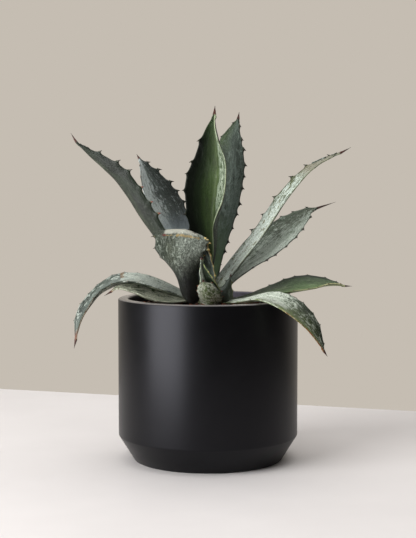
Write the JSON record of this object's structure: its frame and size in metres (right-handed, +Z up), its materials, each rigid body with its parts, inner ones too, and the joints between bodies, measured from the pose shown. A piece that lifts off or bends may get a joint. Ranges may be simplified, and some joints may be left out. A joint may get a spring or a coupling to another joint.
{
  "type": "potted agave",
  "caption": "Agave with long toothed grey-green leaves in a round black planter: a living houseplant that stands on a floor or a table.",
  "frame": {"origin": "centre of the pot's flat underside", "axes": "+Z up along the pot's axis, -Y towards the plant's front, where the short leaves stand, +X to the right seen from the front"},
  "size_m": [0.3642, 0.2944, 0.453],
  "materials": {
    "pot": "satin black",
    "soil": "moist and crumbly",
    "bark_mulch": "rough bark",
    "crown": "fibrous",
    "leaf": "waxy bloom, matte"
  },
  "bodies": {
    "root": {"pot": "pot", "soil": "soil", "bark_mulch": "bark_mulch", "crown": "crown", "leaf_front_small": "leaf", "leaf_front_right": "leaf", "leaf_front_tip": "leaf", "leaf_front_folded": "leaf", "leaf_centre_tall": "leaf", "leaf_right_tall": "leaf", "leaf_left_mid": "leaf", "leaf_left_long": "leaf", "leaf_right_long": "leaf", "leaf_right_mid": "leaf", "leaf_back_tall": "leaf", "leaf_back_left": "leaf", "leaf_right_low_back": "leaf", "leaf_right_low_front": "leaf", "leaf_left_low_long": "leaf", "leaf_left_low_short": "leaf", "leaf_back_low": "leaf"}
  },
  "joints": []
}
